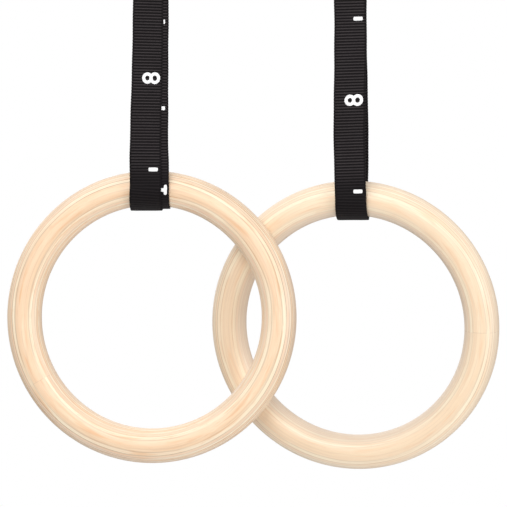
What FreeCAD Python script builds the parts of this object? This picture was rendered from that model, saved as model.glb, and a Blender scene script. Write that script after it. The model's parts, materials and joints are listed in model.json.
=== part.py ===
import FreeCAD, Part
import math
import os
from FreeCAD import Vector

# Gymnastics rings: two laminated birch rings, each on its own webbing strap with a cam buckle.
# Frame in millimetres: +X to the right along the bar, +Y to the back, +Z up. The origin is the centre of
# the left strap's loop, on the axis of the bar that both straps hang from.
#
# Each strap is laid twice round the bar and the ring, with no crossing. From its sewn end at the buckle,
# at the back, it goes up and over the bar, down the front and round the ring as the inner lap, and up the
# back through the buckle. There it passes over the sewn end, and goes round again as the outer lap. Its
# free end lies under a keeper band, just below the buckle.

# Ring, to competition size.
RING_HOLE = 180.0
GRIP = 28.0
RING_R = (RING_HOLE + GRIP) / 2
GRIP_R = GRIP / 2

# How the pair hangs: both rings rest turned a little, and the right one leans back behind the left.
SPACING = 162.0
DROP = {"left": 320.0, "right": 328.0}
REST_TURN = {"left": -7.0, "right": -12.0}
REST_TILT = {"left": 0.0, "right": 7.0}
SIDE_X = {"left": 0.0, "right": SPACING}

# Webbing.
WEB_WIDTH = 25.4
WEB_THICK = 1.25
LAP_GAP = 0.1
BAR_FACE = 16.0
RING_FACE = 15.8
LAP_SHIFT = {"left": 3.1, "right": 0.0}
LAP_STEP = WEB_THICK + LAP_GAP

# The strap's lower end turns with the ring. It is parted from the upper end this far above the ring.
PART_RISE = 75.0
PART_GAP = 0.6

# Cam buckle, at the back of the strap.
PIN_DROP = 90.0
PIN_Y = 23.75
PIN_R = 2.0
PIN_PLAY = 0.1
RIVET_PLAY = 0.05
HEAD_R = 3.6
HEAD_THICK = 1.3
CHEEK_IN = WEB_WIDTH / 2 + 0.6
CHEEK_THICK = 2.0
CHEEK_OUT = CHEEK_IN + CHEEK_THICK
FLOOR_FACE = BAR_FACE - 0.4
FLOOR_THICK = 2.0
BAR_DROP = 67.0
STRAP_BAR_R = 2.5
STRAP_BAR_Y = BAR_FACE - LAP_GAP / 2
LOOP_PLAY = 0.15

# Cam lever: the angles are from +Y towards +Z, about the pin.
CAM_HALF = WEB_WIDTH / 2 - 0.2
CAM_HUB_R = 4.5
NOSE_ANGLE = 160.0
NOSE_R = 6.5
TOOTH_COUNT = 5
TOOTH_STEP = 9.0
TOOTH_DEPTH = 0.6
TAB_ANGLE = -55.0
TAB_LENGTH = 26.0
TAB_THICK = 2.4
RIDGE_R = 0.6
RIDGE_STEP = 3.0
RIDGE_COUNT = 4
SPRING_BAY = 7.9

# Torsion spring.
WIRE = 1.0
COIL_R = 3.05
COIL_TURNS = 3.5
COIL_PITCH = 1.15

# Stitching, keeper and hem.
THREAD = 0.4
SEWN_TOP_DROP = 18.0
SEWN_FOOT_DROP = 52.0
STITCH_INSET = 3.0
HEM_TOP_DROP = 119.0
HEM_LENGTH = 22.0
KEEPER_DROP = 151.0
KEEPER_HEIGHT = 14.0
KEEPER_WALL = 1.2
KEEPER_PLAY = 0.2


def at(y, z, x=0.0):
    return Vector(x, y, z)


def line(start, end):
    return Part.makeLine(at(*start), at(*end))


def arc(centre, radius, start_angle, end_angle):
    """Arc in the YZ plane, with angles in degrees from +Y towards +Z."""
    points = []
    for angle in (start_angle, (start_angle + end_angle) / 2, end_angle):
        turn = math.radians(angle)
        points.append(at(centre[0] + radius * math.cos(turn), centre[1] + radius * math.sin(turn)))
    return Part.Arc(*points).toShape()


def webbing(edges, shift=0.0):
    """One run of webbing: the edges are its middle line in the YZ plane, in order."""
    spine = Part.Wire(edges)
    start = edges[0].valueAt(edges[0].FirstParameter)
    along = edges[0].tangentAt(edges[0].FirstParameter)
    across = Vector(1, 0, 0).cross(along).multiply(WEB_THICK / 2)
    half = Vector(WEB_WIDTH / 2, 0, 0)
    corners = [start - half - across, start + half - across, start + half + across, start - half + across]
    profile = Part.makePolygon(corners + corners[:1])
    pipe = Part.BRepOffsetAPI.MakePipeShell(spine)
    pipe.setTransitionMode(1)
    pipe.setBiNormalMode(Vector(1, 0, 0))
    pipe.add(profile)
    pipe.build()
    pipe.makeSolid()
    run = pipe.shape()
    run.translate(Vector(shift, 0, 0))
    return run


def block(low, high):
    size = high - low
    return Part.makeBox(size.x, size.y, size.z, low)


def rod(radius, half_length, y, z):
    return Part.makeCylinder(radius, 2 * half_length, at(y, z, -half_length), Vector(1, 0, 0))


def plate(outline, low_x, high_x):
    """Plate from an outline of (y, z) points, standing in the YZ plane."""
    corners = [at(y, z, low_x) for y, z in outline]
    face = Part.Face(Part.makePolygon(corners + corners[:1]))
    return face.extrude(Vector(high_x - low_x, 0, 0))


def rounded(solid, radius, wanted):
    return solid.makeFillet(radius, [edge for edge in solid.Edges if wanted(edge)])


def along_x(edge):
    ends = [vertex.Point for vertex in edge.Vertexes]
    return len(ends) == 2 and abs(ends[0].y - ends[1].y) < 1e-6 and abs(ends[0].z - ends[1].z) < 1e-6


def polar(radius, angle, y=PIN_Y, z=-PIN_DROP):
    turn = math.radians(angle)
    return (y + radius * math.cos(turn), z + radius * math.sin(turn))


# Middle lines of the two laps, measured out from the bar's and the ring's centres.
BAR_INNER = BAR_FACE + WEB_THICK / 2
BAR_OUTER = BAR_INNER + LAP_STEP
RING_INNER = RING_FACE + WEB_THICK / 2
RING_OUTER = RING_INNER + LAP_STEP


def ring_turn(radius, shift):
    """Lower end of one lap, with the ring's top at the origin."""
    top = PART_RISE - PART_GAP / 2
    edges = [
        line((-radius, top), (-radius, 0)),
        arc((0, 0), radius, 180, 360),
        line((radius, 0), (radius, top)),
    ]
    return webbing(edges, shift)


def sewn_run(foot):
    """Folded and sewn round the strap bar, up the back, over the bar and down the front."""
    loop_r = STRAP_BAR_R + LOOP_PLAY + WEB_THICK / 2
    fold_y = BAR_INNER - LAP_STEP
    low = -SEWN_FOOT_DROP
    edges = [
        line((fold_y, -SEWN_TOP_DROP), (fold_y, low)),
        line((fold_y, low), (STRAP_BAR_Y - loop_r, -BAR_DROP)),
        arc((STRAP_BAR_Y, -BAR_DROP), loop_r, 180, 360),
        line((STRAP_BAR_Y + loop_r, -BAR_DROP), (BAR_INNER, low)),
        line((BAR_INNER, low), (BAR_INNER, 0)),
        arc((0, 0), BAR_INNER, 0, 180),
        line((-BAR_INNER, 0), (-BAR_INNER, foot)),
    ]
    return webbing(edges)


def adjusted_run(foot):
    """From the ring up the back, under the cam, out over the sewn end, over the bar and down the front."""
    loop_edge = STRAP_BAR_Y + STRAP_BAR_R + LOOP_PLAY + WEB_THICK
    over_y = loop_edge + 0.2 + WEB_THICK / 2
    edges = [
        line((BAR_INNER, foot), (BAR_INNER, -PIN_DROP + 2.5)),
        line((BAR_INNER, -PIN_DROP + 2.5), (over_y, -BAR_DROP - 3)),
        line((over_y, -BAR_DROP - 3), (over_y, -BAR_DROP + 3)),
        line((over_y, -BAR_DROP + 3), (BAR_OUTER, -SEWN_TOP_DROP - 10)),
        line((BAR_OUTER, -SEWN_TOP_DROP - 10), (BAR_OUTER, 0)),
        arc((0, 0), BAR_OUTER, 0, 180),
        line((-BAR_OUTER, 0), (-BAR_OUTER, foot)),
    ]
    return webbing(edges)


def tail(foot):
    """Free end at the back, with its end turned out and down as a hem."""
    hem_y = BAR_OUTER + LAP_STEP
    top = -HEM_TOP_DROP
    edges = [
        line((BAR_OUTER, foot), (BAR_OUTER, top)),
        arc(((BAR_OUTER + hem_y) / 2, top), LAP_STEP / 2, 180, 0),
        line((hem_y, top), (hem_y, top - HEM_LENGTH)),
    ]
    return webbing(edges)


def box_stitches():
    """Rectangle and cross that close the sewn end, on the face of its folded end."""
    outer_y = BAR_FACE - LAP_STEP - 0.02
    half = WEB_WIDTH / 2 - STITCH_INSET
    low = -SEWN_FOOT_DROP + STITCH_INSET
    high = -SEWN_TOP_DROP - STITCH_INSET
    corners = [(-half, low), (half, low), (half, high), (-half, high)]
    seams = [(corners[i], corners[(i + 1) % 4]) for i in range(4)]
    seams += [(corners[0], corners[2]), (corners[1], corners[3])]
    rows = []
    for (x0, z0), (x1, z1) in seams:
        length = math.hypot(x1 - x0, z1 - z0) + THREAD
        row = Part.makeBox(length, THREAD, THREAD, Vector(-length / 2, outer_y - THREAD, -THREAD / 2))
        row.rotate(Vector(0, 0, 0), Vector(0, -1, 0), math.degrees(math.atan2(z1 - z0, x1 - x0)))
        row.translate(Vector((x0 + x1) / 2, 0, (z0 + z1) / 2))
        rows.append(row)
    return rows[0].multiFuse(rows[1:])


def hem_stitches():
    """Two rows across the hem, as a group."""
    face_y = BAR_OUTER + LAP_STEP + WEB_THICK / 2 + 0.02
    half = WEB_WIDTH / 2 - STITCH_INSET
    rows = []
    for below in (STITCH_INSET, HEM_LENGTH - STITCH_INSET):
        z = -HEM_TOP_DROP - below
        rows.append(block(at(face_y, z - THREAD / 2, -half), at(face_y + THREAD, z + THREAD / 2, half)))
    return Part.makeCompound(rows)


def keeper():
    inner_low = at(BAR_FACE - KEEPER_PLAY, -KEEPER_DROP - KEEPER_HEIGHT / 2, -WEB_WIDTH / 2 - KEEPER_PLAY)
    inner_high = at(BAR_OUTER + WEB_THICK / 2 + KEEPER_PLAY, -KEEPER_DROP + KEEPER_HEIGHT / 2,
                    WEB_WIDTH / 2 + KEEPER_PLAY)
    wall = Vector(KEEPER_WALL, KEEPER_WALL, 0)
    band = block(inner_low - wall, inner_high + wall)
    band = rounded(band, KEEPER_WALL, lambda edge: abs(edge.tangentAt(edge.FirstParameter).z) > 0.99)
    return band.cut(block(inner_low, inner_high))


def buckle_frame():
    """Pressed U: two cheeks and the floor that the strap is clamped against."""
    foot = -PIN_DROP - 22
    head = -BAR_DROP + 6
    back = FLOOR_FACE - FLOOR_THICK
    outline = [
        (back - 1.5, foot + 4), (back, foot), (BAR_FACE + 4, foot), (PIN_Y + 5.5, -PIN_DROP - 5),
        (PIN_Y + 5.5, -PIN_DROP + 4), (BAR_FACE + 7, -BAR_DROP - 7), (BAR_FACE + 6, head),
        (back - 2.5, head), (back - 2.5, -BAR_DROP - 6), (back, -BAR_DROP - 12), (back, foot + 10),
    ]
    cheeks = []
    for low_x in (-CHEEK_OUT, CHEEK_IN):
        cheek = plate(outline, low_x, low_x + CHEEK_THICK)
        cheeks.append(rounded(cheek, 1.2, along_x))
    floor = block(at(back, foot + 5, -CHEEK_OUT + 0.5), at(FLOOR_FACE, -PIN_DROP + 9, CHEEK_OUT - 0.5))
    frame = cheeks[0].multiFuse([cheeks[1], floor]).removeSplitter()
    frame = frame.cut(rod(PIN_R + RIVET_PLAY, CHEEK_OUT + 1, PIN_Y, -PIN_DROP))
    frame = frame.cut(rod(STRAP_BAR_R + RIVET_PLAY, CHEEK_OUT + 1, STRAP_BAR_Y, -BAR_DROP))
    anchor_y, anchor_z = spring_anchor()
    hole = Part.makeCylinder(WIRE / 2 + 0.1, CHEEK_THICK + 2, at(anchor_y, anchor_z, CHEEK_IN - 1),
                             Vector(1, 0, 0))
    return frame.cut(hole)


def rivet(radius, y, z):
    """Round bar through both cheeks, with a domed head outside each."""
    bar = rod(radius, CHEEK_OUT + 0.1, y, z)
    heads = rod(radius + HEAD_R - PIN_R, CHEEK_OUT + 0.05 + HEAD_THICK, y, z)
    heads = heads.cut(rod(radius + HEAD_R, CHEEK_OUT + 0.05, y, z))
    pin = bar.fuse(heads).removeSplitter()

    def head_rim(edge):
        box = edge.BoundBox
        return box.XLength < 1e-6 and abs(abs(box.XMin) - CHEEK_OUT - 0.05 - HEAD_THICK) < 1e-6

    return rounded(pin, HEAD_THICK * 0.7, head_rim)


def cam():
    """Toothed nose on a hub, with a ridged thumb tab that points down and out."""
    first = NOSE_ANGLE - TOOTH_STEP * (TOOTH_COUNT - 1) / 2
    outline = [polar(CAM_HUB_R, first - 3 * TOOTH_STEP)]
    for index in range(TOOTH_COUNT):
        angle = first + index * TOOTH_STEP
        fall = 0.12 * abs(index - TOOTH_COUNT // 2)
        outline.append(polar(NOSE_R - TOOTH_DEPTH - fall, angle - TOOTH_STEP / 2))
        outline.append(polar(NOSE_R - fall, angle))
    outline.append(polar(CAM_HUB_R, first + (TOOTH_COUNT + 1.5) * TOOTH_STEP))
    outline.append((PIN_Y, -PIN_DROP))
    nose = plate(outline, -CAM_HALF, CAM_HALF)
    hub = rod(CAM_HUB_R, CAM_HALF, PIN_Y, -PIN_DROP)
    tab = block(at(0, -TAB_THICK / 2, -CAM_HALF), at(TAB_LENGTH, TAB_THICK / 2, CAM_HALF))
    lip = Part.makeCylinder(TAB_THICK * 0.75, 2 * CAM_HALF, at(TAB_LENGTH, 0, -CAM_HALF), Vector(1, 0, 0))
    ridges = []
    for index in range(RIDGE_COUNT):
        place = at(TAB_LENGTH - 4 - index * RIDGE_STEP, TAB_THICK / 2, -CAM_HALF + 2.5)
        ridges.append(Part.makeCylinder(RIDGE_R, 2 * CAM_HALF - 5, place, Vector(1, 0, 0)))
    tab = tab.multiFuse([lip] + ridges)
    tab.rotate(Vector(0, 0, 0), Vector(1, 0, 0), TAB_ANGLE)
    tab.translate(at(PIN_Y, -PIN_DROP))
    lever = hub.multiFuse([nose, tab])
    lever = lever.cut(rod(PIN_R + PIN_PLAY, CAM_HALF + 1, PIN_Y, -PIN_DROP))
    bay = Part.makeCylinder(CAM_HUB_R + 0.05, CAM_HALF, at(PIN_Y, -PIN_DROP, SPRING_BAY), Vector(1, 0, 0))
    return lever.cut(bay).removeSplitter()


def spring_anchor():
    return polar(COIL_R + 4.0, 60)


def spring():
    """Torsion coil on the pin: one leg lies under the tab, the other ends in the cheek."""
    start_x = SPRING_BAY + WIRE / 2 + 0.15
    coil = Part.makeHelix(COIL_PITCH, COIL_PITCH * COIL_TURNS, COIL_R)
    coil.rotate(Vector(0, 0, 0), Vector(0, 1, 0), 90)
    coil.translate(at(PIN_Y, -PIN_DROP, start_x))
    spine = Part.Wire(coil.Edges)
    edge = spine.Edges[0]
    start = edge.valueAt(edge.FirstParameter)
    circle = Part.Wire(Part.makeCircle(WIRE / 2, start, edge.tangentAt(edge.FirstParameter)))
    turns = spine.makePipeShell([circle], True, True)
    last = spine.Edges[-1]
    legs = [(start, start + tab_way().multiply(TAB_LENGTH * 0.45))]
    anchor_y, anchor_z = spring_anchor()
    end = last.valueAt(last.LastParameter)
    knee = at(anchor_y, anchor_z, end.x)
    legs.append((end, knee))
    legs.append((knee, at(anchor_y, anchor_z, CHEEK_OUT - 0.2)))
    pieces = [turns]
    for low, high in legs:
        way = high - low
        pieces.append(Part.makeCylinder(WIRE / 2, way.Length, low, way))
        pieces.append(Part.makeSphere(WIRE / 2, low))
    return pieces[0].multiFuse(pieces[1:])


def tab_way():
    turn = math.radians(TAB_ANGLE)
    return Vector(0, math.cos(turn), math.sin(turn))


def ring(side):
    hoop = Part.makeTorus(RING_R, GRIP_R, Vector(0, 0, -RING_R), Vector(0, 1, 0))
    hoop.rotate(Vector(0, 0, 0), Vector(1, 0, 0), REST_TILT[side])
    return hoop


def build_side(side):
    """Every piece of one side, by node name."""
    drop = DROP[side]
    foot = PART_RISE + PART_GAP / 2 - drop
    shift = LAP_SHIFT[side]
    lower = {
        "ring": ring(side),
        "strap_inner_turn": ring_turn(RING_INNER, shift),
        "strap_outer_turn": ring_turn(RING_OUTER, -shift),
    }
    for piece in lower.values():
        piece.rotate(Vector(0, 0, 0), Vector(0, 0, 1), REST_TURN[side])
        piece.translate(Vector(SIDE_X[side], 0, -drop))
    upper = {
        "strap_sewn_run": sewn_run(foot),
        "strap_adjusted_run": adjusted_run(foot),
        "strap_tail": tail(foot),
        "sewn_end_stitching": box_stitches(),
        "hem_stitching": hem_stitches(),
        "keeper_band": keeper(),
        "buckle_frame": buckle_frame(),
        "buckle_strap_bar": rivet(STRAP_BAR_R, STRAP_BAR_Y, -BAR_DROP),
        "buckle_cam_pin": rivet(PIN_R, PIN_Y, -PIN_DROP),
        "buckle_cam_lever": cam(),
        "buckle_cam_spring": spring(),
    }
    for piece in upper.values():
        piece.translate(Vector(SIDE_X[side], 0, 0))
    return {side + "_" + name: piece for name, piece in {**lower, **upper}.items()}


os.makedirs("parts", exist_ok=True)
for side in ("left", "right"):
    for node, shape in build_side(side).items():
        shape.exportStep("parts/" + node + ".step")
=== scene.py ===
"""Gymnastics rings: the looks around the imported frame, in metres, in the frame's own axes."""
import json
import math

import bpy
import numpy as np
from mathutils import Matrix, Vector


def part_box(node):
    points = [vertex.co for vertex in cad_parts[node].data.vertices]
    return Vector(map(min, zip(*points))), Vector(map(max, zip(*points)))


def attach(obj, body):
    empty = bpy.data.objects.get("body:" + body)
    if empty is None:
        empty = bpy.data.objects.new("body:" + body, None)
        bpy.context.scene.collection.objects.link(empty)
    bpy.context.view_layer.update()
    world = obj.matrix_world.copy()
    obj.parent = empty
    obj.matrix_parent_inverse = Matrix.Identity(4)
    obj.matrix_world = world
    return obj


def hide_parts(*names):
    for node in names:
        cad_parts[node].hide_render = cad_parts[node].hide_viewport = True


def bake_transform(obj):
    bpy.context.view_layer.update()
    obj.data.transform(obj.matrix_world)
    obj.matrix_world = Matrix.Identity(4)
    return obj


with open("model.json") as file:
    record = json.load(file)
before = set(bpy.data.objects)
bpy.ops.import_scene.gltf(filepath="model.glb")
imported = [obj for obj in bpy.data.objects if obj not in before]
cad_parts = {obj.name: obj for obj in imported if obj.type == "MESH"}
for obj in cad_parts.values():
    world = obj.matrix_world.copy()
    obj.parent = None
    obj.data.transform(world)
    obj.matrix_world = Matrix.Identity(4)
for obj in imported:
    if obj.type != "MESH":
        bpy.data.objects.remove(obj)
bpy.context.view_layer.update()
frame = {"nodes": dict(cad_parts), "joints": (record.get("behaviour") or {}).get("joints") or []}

SIDES = ("left", "right")
JOINTS = {joint["name"]: joint for joint in frame["joints"]}
RING_TOP = {side: Vector(JOINTS[side + "_tilt"]["pos_m"]) for side in SIDES}
TILT_AXIS = {side: Vector(JOINTS[side + "_tilt"]["axis"]) for side in SIDES}

# Ring.
RING_R = 0.104
GRIP_R = 0.014
REST_TILT = {"left": 0.0, "right": math.radians(7)}
RING_STEPS = 320
GRIP_STEPS = 72

# Webbing: a rounded rib every pitch, and a notched selvage.
WEB_WIDTH = 0.0254
WEB_HALF = 0.00125 / 2
RIB_PITCH = 0.00235
RIB_STEPS = 6
RIB_POWER = 0.7
GROOVE_DEPTH = 0.00032
PRESSED_DEPTH = 0.00012
PRESSED_RISE = 0.030
NOTCH = 0.00016
NOTCH_LEVEL = 0.6
SELVAGE = 0.0016
SELVAGE_SLOPE = 0.0012
SELVAGE_DROP = 0.00008
FACE_COLUMNS = 7
FACE_INSET = 0.00025
ROUTE_STEP = RIB_PITCH / RIB_STEPS
LEAST_BEND_POINTS = 8
EASED_POINTS = 6
# How the webbing's edge strays: size, radians in a metre, and phase.
WANDER = ((0.00012, 61, 0), (0.00008, 173, 1))

# The strap's middle line: distances from the bar's and the ring's centres.
LAP_STEP = 0.00135
BAR_INNER = 0.016625
BAR_OUTER = BAR_INNER + LAP_STEP
RING_INNER = {"left": 0.016275, "right": 0.015875}
RING_LAP_STEP = 0.0014
SEWN_TOP = -0.018
SEWN_FOOT = -0.052
STRAP_BAR = (0.01595, -0.067)
STRAP_LOOP_R = 0.003275
OVER_Y = 0.020675
OVER_HALF = 0.003
CLAMP_TOP = -0.0875
REST_FOOT = -0.028
HEM_TOP = -0.119
HEM_LENGTH = 0.022
VIEW_DROP = -0.165
TWIST_TOP = -0.165
TWIST_RISE = 0.022

# How far each lap has wandered sideways: over the bar, down the front, and round the ring.
DRIFT = {
    "left": {
        "inner": {"bar": 0.0005, "front": 0.0029, "in": 0.0044, "under": 0.0028, "out": -0.0016},
        "outer": {"bar": -0.0005, "front": -0.0022, "in": -0.0020, "under": -0.0040, "out": -0.0045},
    },
    "right": {
        "inner": {"bar": 0.0, "front": -0.0022, "in": 0.0020, "under": 0.0013, "out": -0.0024},
        "outer": {"bar": 0.0, "front": -0.0022, "in": 0.0020, "under": 0.0013, "out": -0.0026},
    },
}
# The left front strands hang with their faces turned aside, and straighten just above the ring.
FRONT_TURN = {"left": math.radians(21), "right": 0.0}
TURN_FOOT = 0.002
TURN_REACH = 0.036

# Printed marks: a number every 138.6 mm with a dash between, read along the strap.
NUMBER_PITCH = 0.1386
DASH_BELOW = 0.0733
INK_RIGHT = 0.0110
DIGIT_LENGTH = 0.0150
DIGIT_WIDTH = 0.0095
DIGIT_PITCH = 1.12 * DIGIT_WIDTH
DIGIT_STROKE = 0.0026
CURVE_POINTS = 33
START_MARK = "|"
START_STROKE = 0.0013
DASH_LENGTH = 0.0074
DASH_WIDTH = 0.0031
DASH_CORNER = 0.0009
DASH_INSET = 0.0010
DASH_ROWS = 4
OUTER_NUMBER_RISE = {"left": 0.0878, "right": 0.0779}
INNER_NUMBER_RISE = {"left": -0.0015, "right": -0.0015}
# Ink is cut from a grid. A cell may spill a little past the outline, and points near it are drawn in to it.
INK_CELL = 0.0003
INK_SPILL = 0.55 * INK_CELL
INK_EDGE = 0.8 * INK_CELL
INK_LIFT = 0.00006
INK_SINK = 0.00005

# Keeper band: elastic with a cord every pitch, its upper and lower rims rounded off.
KEEPER_WALL = 0.0010
KEEPER_CORNER = 0.0016
KEEPER_CORNER_POINTS = 9
KEEPER_ROWS = 40
CORD_PITCH = 0.0011
CORD_DEPTH = 0.00009
KNIT_PITCH = 0.0008
RIM_SHARE = 0.06
RIM_DROP = 0.0003

# Stitches: each one a short arched thread.
STITCH_PITCH = 0.0027
STITCH_GAP = 0.0004
STITCH_ARCH = 0.00022
STITCH_SINK = 0.00012
STITCH_ROWS = 7
THREAD_R = 0.00021
THREAD_SIDES = 7
BOX_INSET = 0.0003
HEM_ROW_INSETS = (0.0002, 0.0018)

# Cam spring, about the cam's own axis.
SPRING_WIRE_R = 0.0005
SPRING_WIRE_SIDES = 10
SPRING_BEND = 0.0006
SHARP_CORNER = 0.5
COIL_START = 0.00855
COIL_PITCH = 0.00115
COIL_TURNS = 3.5
COIL_STEPS = 98
COIL_R = 0.00305
LEVER_LEG = 0.0117
LEVER_TURN = math.radians(-55)
ANCHOR_REACH = 0.00705
ANCHOR_TURN = math.radians(60)
ANCHOR_X = 0.0151

# The buckle's CAD pieces: each one's material and the width of its broken edges.
METAL_PIECES = {
    "frame": ("frame_steel", 0.00035),
    "strap_bar": ("rivet_steel", 0.0001),
    "cam_pin": ("rivet_steel", 0.0001),
    "cam_lever": ("cast_zinc", 0.0003),
}
BEVEL_SEGMENTS = 3
BEVEL_ANGLE = math.radians(35)


# ---------------------------------------------------------------- meshes

def add_mesh(name, points, faces, uvs=None):
    """A smooth-shaded object. The UVs, if there are any, are one for each vertex."""
    mesh = bpy.data.meshes.new(name)
    mesh.from_pydata([tuple(p) for p in points], [], [tuple(int(i) for i in f) for f in faces])
    mesh.validate()
    if uvs is not None:
        layer = mesh.uv_layers.new(name="Cloth")
        corner = np.empty(len(mesh.loops), dtype=np.int32)
        mesh.loops.foreach_get("vertex_index", corner)
        layer.data.foreach_set("uv", np.asarray(uvs, dtype=np.float32)[corner].ravel())
    for polygon in mesh.polygons:
        polygon.use_smooth = True
    piece = bpy.data.objects.new(name, mesh)
    bpy.context.collection.objects.link(piece)
    return piece


def add_values(piece, name, kind, values):
    """A value or vector for each vertex, for the material to read."""
    layer = piece.data.attributes.new(name, kind, "POINT")
    field = "value" if kind == "FLOAT" else "vector"
    layer.data.foreach_set(field, np.asarray(values, dtype=np.float32).ravel())


def tube_faces(rows, around, closed=False):
    """Quads of a tube of rows x around points; an open one gets an end cap each."""
    faces = []
    for row in range(rows if closed else rows - 1):
        for column in range(around):
            after = (column + 1) % around
            low, high = row * around, (row + 1) % rows * around
            faces.append((low + column, low + after, high + after, high + column))
    if not closed:
        faces.append(tuple(range(around))[::-1])
        faces.append(tuple((rows - 1) * around + column for column in range(around)))
    return faces


def wire_mesh(name, path, radius):
    """Round wire along a path, carried round its corners without twisting."""
    points = []
    aside = None
    for index, centre in enumerate(path):
        way = (path[min(index + 1, len(path) - 1)] - path[max(index - 1, 0)]).normalized()
        aside = way.orthogonal() if aside is None else aside - way * aside.dot(way)
        aside.normalize()
        across = way.cross(aside)
        for k in range(SPRING_WIRE_SIDES):
            turn = 2 * math.pi * k / SPRING_WIRE_SIDES
            points.append(centre + (aside * math.cos(turn) + across * math.sin(turn)) * radius)
    return add_mesh(name, points, tube_faces(len(path), SPRING_WIRE_SIDES))


def put_on(piece, material, body=None):
    """Gives a piece its material and slot, and the body that it rides on unless it bends between two."""
    piece.data.materials.clear()
    piece.data.materials.append(material)
    if body:
        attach(piece, body)


# ---------------------------------------------------------------- the strap's route

def straight(start, end):
    """Points from the start up to the end, which the next stretch begins with."""
    count = max(2, int(math.dist(start, end) / (ROUTE_STEP / 2)))
    share = np.linspace(0, 1, count, endpoint=False)[:, None]
    return np.array(start) + share * (np.array(end) - np.array(start))


def bend(centre, radius, angles, drift):
    """Turn in the YZ plane, from one angle to the other in degrees from +Y towards +Z."""
    count = max(LEAST_BEND_POINTS, int(math.radians(abs(angles[1] - angles[0])) * radius / (ROUTE_STEP / 2)))
    turn = np.radians(np.linspace(angles[0], angles[1], count, endpoint=False))
    sideways = np.linspace(drift[0], drift[1], count, endpoint=False)
    return np.column_stack([sideways, centre[0] + radius * np.cos(turn), centre[1] + radius * np.sin(turn)])


def even(points, step):
    """The same line with its corners eased, and its points a step apart."""
    padded = np.pad(points, ((EASED_POINTS, EASED_POINTS), (0, 0)), mode="edge")
    kernel = np.ones(2 * EASED_POINTS + 1) / (2 * EASED_POINTS + 1)
    eased = np.column_stack([np.convolve(padded[:, axis], kernel, mode="valid") for axis in range(3)])
    length = np.concatenate([[0], np.cumsum(np.linalg.norm(np.diff(eased, axis=0), axis=1))])
    at = np.arange(0, length[-1], step)
    return np.column_stack([np.interp(at, length, eased[:, axis]) for axis in range(3)])


def lap_down(bar, ring, drift, ring_z):
    """Over the bar, down the front, round the ring and part of the way up the back."""
    return [
        bend((0, 0), bar, (0, 180), (0, drift["bar"])),
        straight((drift["bar"], -bar, 0), (drift["front"], -bar, VIEW_DROP)),
        straight((drift["front"], -bar, VIEW_DROP), (drift["in"], -ring, ring_z)),
        bend((0, ring_z), ring, (180, 270), (drift["in"], drift["under"])),
        bend((0, ring_z), ring, (270, 360), (drift["under"], drift["out"])),
        straight((drift["out"], ring, ring_z), (0, bar, VIEW_DROP)),
    ]


def strap_route(side):
    """The whole strap's middle line, from the sewn end to the hem, with the bar at the origin."""
    ring_z = RING_TOP[side].z
    drift = DRIFT[side]
    fold_y = BAR_INNER - LAP_STEP
    loop_in, loop_out = STRAP_BAR[0] - STRAP_LOOP_R, STRAP_BAR[0] + STRAP_LOOP_R
    hem_y = BAR_OUTER + LAP_STEP
    pieces = [
        straight((0, fold_y, SEWN_TOP), (0, fold_y, SEWN_FOOT)),
        straight((0, fold_y, SEWN_FOOT), (0, loop_in, STRAP_BAR[1])),
        bend(STRAP_BAR, STRAP_LOOP_R, (180, 360), (0, 0)),
        straight((0, loop_out, STRAP_BAR[1]), (0, BAR_INNER, SEWN_FOOT)),
        straight((0, BAR_INNER, SEWN_FOOT), (0, BAR_INNER, 0)),
    ]
    pieces += lap_down(BAR_INNER, RING_INNER[side], drift["inner"], ring_z)
    pieces += [
        straight((0, BAR_INNER, VIEW_DROP), (0, BAR_INNER, CLAMP_TOP)),
        straight((0, BAR_INNER, CLAMP_TOP), (0, OVER_Y, STRAP_BAR[1] - OVER_HALF)),
        straight((0, OVER_Y, STRAP_BAR[1] - OVER_HALF), (0, OVER_Y, STRAP_BAR[1] + OVER_HALF)),
        straight((0, OVER_Y, STRAP_BAR[1] + OVER_HALF), (0, BAR_OUTER, REST_FOOT)),
        straight((0, BAR_OUTER, REST_FOOT), (0, BAR_OUTER, 0)),
    ]
    pieces += lap_down(BAR_OUTER, RING_INNER[side] + RING_LAP_STEP, drift["outer"], ring_z)
    pieces += [
        straight((0, BAR_OUTER, VIEW_DROP), (0, BAR_OUTER, HEM_TOP)),
        bend(((BAR_OUTER + hem_y) / 2, HEM_TOP), LAP_STEP / 2, (180, 0), (0, 0)),
        straight((0, hem_y, HEM_TOP), (0, hem_y, HEM_TOP - HEM_LENGTH)),
    ]
    return even(np.vstack(pieces), ROUTE_STEP)


def smoothstep(share):
    """The share from 0 to 1, eased at both ends."""
    share = np.clip(share, 0, 1)
    return share * share * (3 - 2 * share)


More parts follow.
